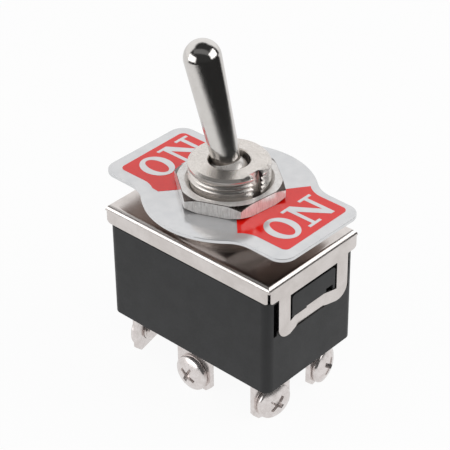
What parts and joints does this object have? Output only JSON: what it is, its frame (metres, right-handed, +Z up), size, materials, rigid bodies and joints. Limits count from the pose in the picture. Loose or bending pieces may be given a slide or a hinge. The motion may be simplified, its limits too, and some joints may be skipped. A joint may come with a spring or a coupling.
{
  "type": "panel toggle switch",
  "caption": "Bat-lever toggle switch with threaded bushing, hex nuts, legend plate, folded metal frame, moulded housing and screw terminals.",
  "frame": {"origin": "on the axis of the threaded bushing, where its free thread begins, 0.15 mm above the top nut's outer face", "axes": "+Z up the bushing, away from the panel; +X along the body's long side, the way the lever swings; -Y is the front long side; the lever rests tilted towards -X"},
  "size_m": [0.0358, 0.0256, 0.0538],
  "materials": {
    "nickel": "nickel plated, semi-bright",
    "chrome": "bright plated",
    "black_plastic": "moulded, satin",
    "aluminium": "satin, with red lacquered tabs",
    "brass": "bare",
    "silver": "silver alloy contacts",
    "spring_steel": "plated spring steel",
    "fibre": "vulcanised fibre sheet",
    "red_plastic": "moulded insulator"
  },
  "bodies": {
    "body": {"frame": "nickel", "housing": "black_plastic", "liner": "fibre", "bushing": "nickel", "ball_seat": "brass", "fixed_contact_front_left": "silver", "fixed_contact_front_right": "silver", "fixed_contact_rear_left": "silver", "fixed_contact_rear_right": "silver", "cradle_front": "brass", "cradle_rear": "brass", "terminal_front_left": "nickel", "terminal_front_middle": "nickel", "terminal_front_right": "nickel", "terminal_rear_left": "nickel", "terminal_rear_middle": "nickel", "terminal_rear_right": "nickel", "screw_front_left": "chrome", "screw_front_middle": "chrome", "screw_front_right": "chrome", "screw_rear_left": "chrome", "screw_rear_middle": "chrome", "screw_rear_right": "chrome", "lower_nut": "nickel", "lock_washer": "spring_steel", "legend_plate": "aluminium", "top_nut": "nickel"},
    "lever_arm": {"lever": "chrome", "pivot_pin": "chrome", "plunger_carrier": "red_plastic", "plunger_spring_front": "spring_steel", "plunger_spring_rear": "spring_steel"},
    "plunger_front": {"plunger_front": "brass"},
    "plunger_rear": {"plunger_rear": "brass"},
    "rocker_front": {"rocker_front": "brass", "moving_contact_front_left": "silver", "moving_contact_front_right": "silver"},
    "rocker_rear": {"rocker_rear": "brass", "moving_contact_rear_left": "silver", "moving_contact_rear_right": "silver"}
  },
  "joints": [
    {"name": "lever_tilt", "type": "hinge", "parent": "body", "child": "lever_arm", "pos_m": [0, 0, 0.00045], "axis": [0, 1, 0], "range_deg": [0, 31.8]},
    {"name": "plunger_front_slide", "type": "slide", "parent": "lever_arm", "child": "plunger_front", "axis": [-0.274, 0, 0.9617], "range_m": [0, 0.0008], "deforming": ["plunger_spring_front"]},
    {"name": "plunger_rear_slide", "type": "slide", "parent": "lever_arm", "child": "plunger_rear", "axis": [-0.274, 0, 0.9617], "range_m": [0, 0.0008], "deforming": ["plunger_spring_rear"]},
    {"name": "rocker_front_swing", "type": "hinge", "parent": "body", "child": "rocker_front", "pos_m": [0, -0.0049, -0.0186], "axis": [0, 1, 0], "range_deg": [-10, 0]},
    {"name": "rocker_rear_swing", "type": "hinge", "parent": "body", "child": "rocker_rear", "pos_m": [0, 0.0049, -0.0186], "axis": [0, 1, 0], "range_deg": [-10, 0]}
  ],
  "couplings": [
    {"joint": "rocker_front_swing", "follows": "lever_tilt", "ratio": -0.31446},
    {"joint": "rocker_rear_swing", "follows": "lever_tilt", "ratio": -0.31446}
  ]
}
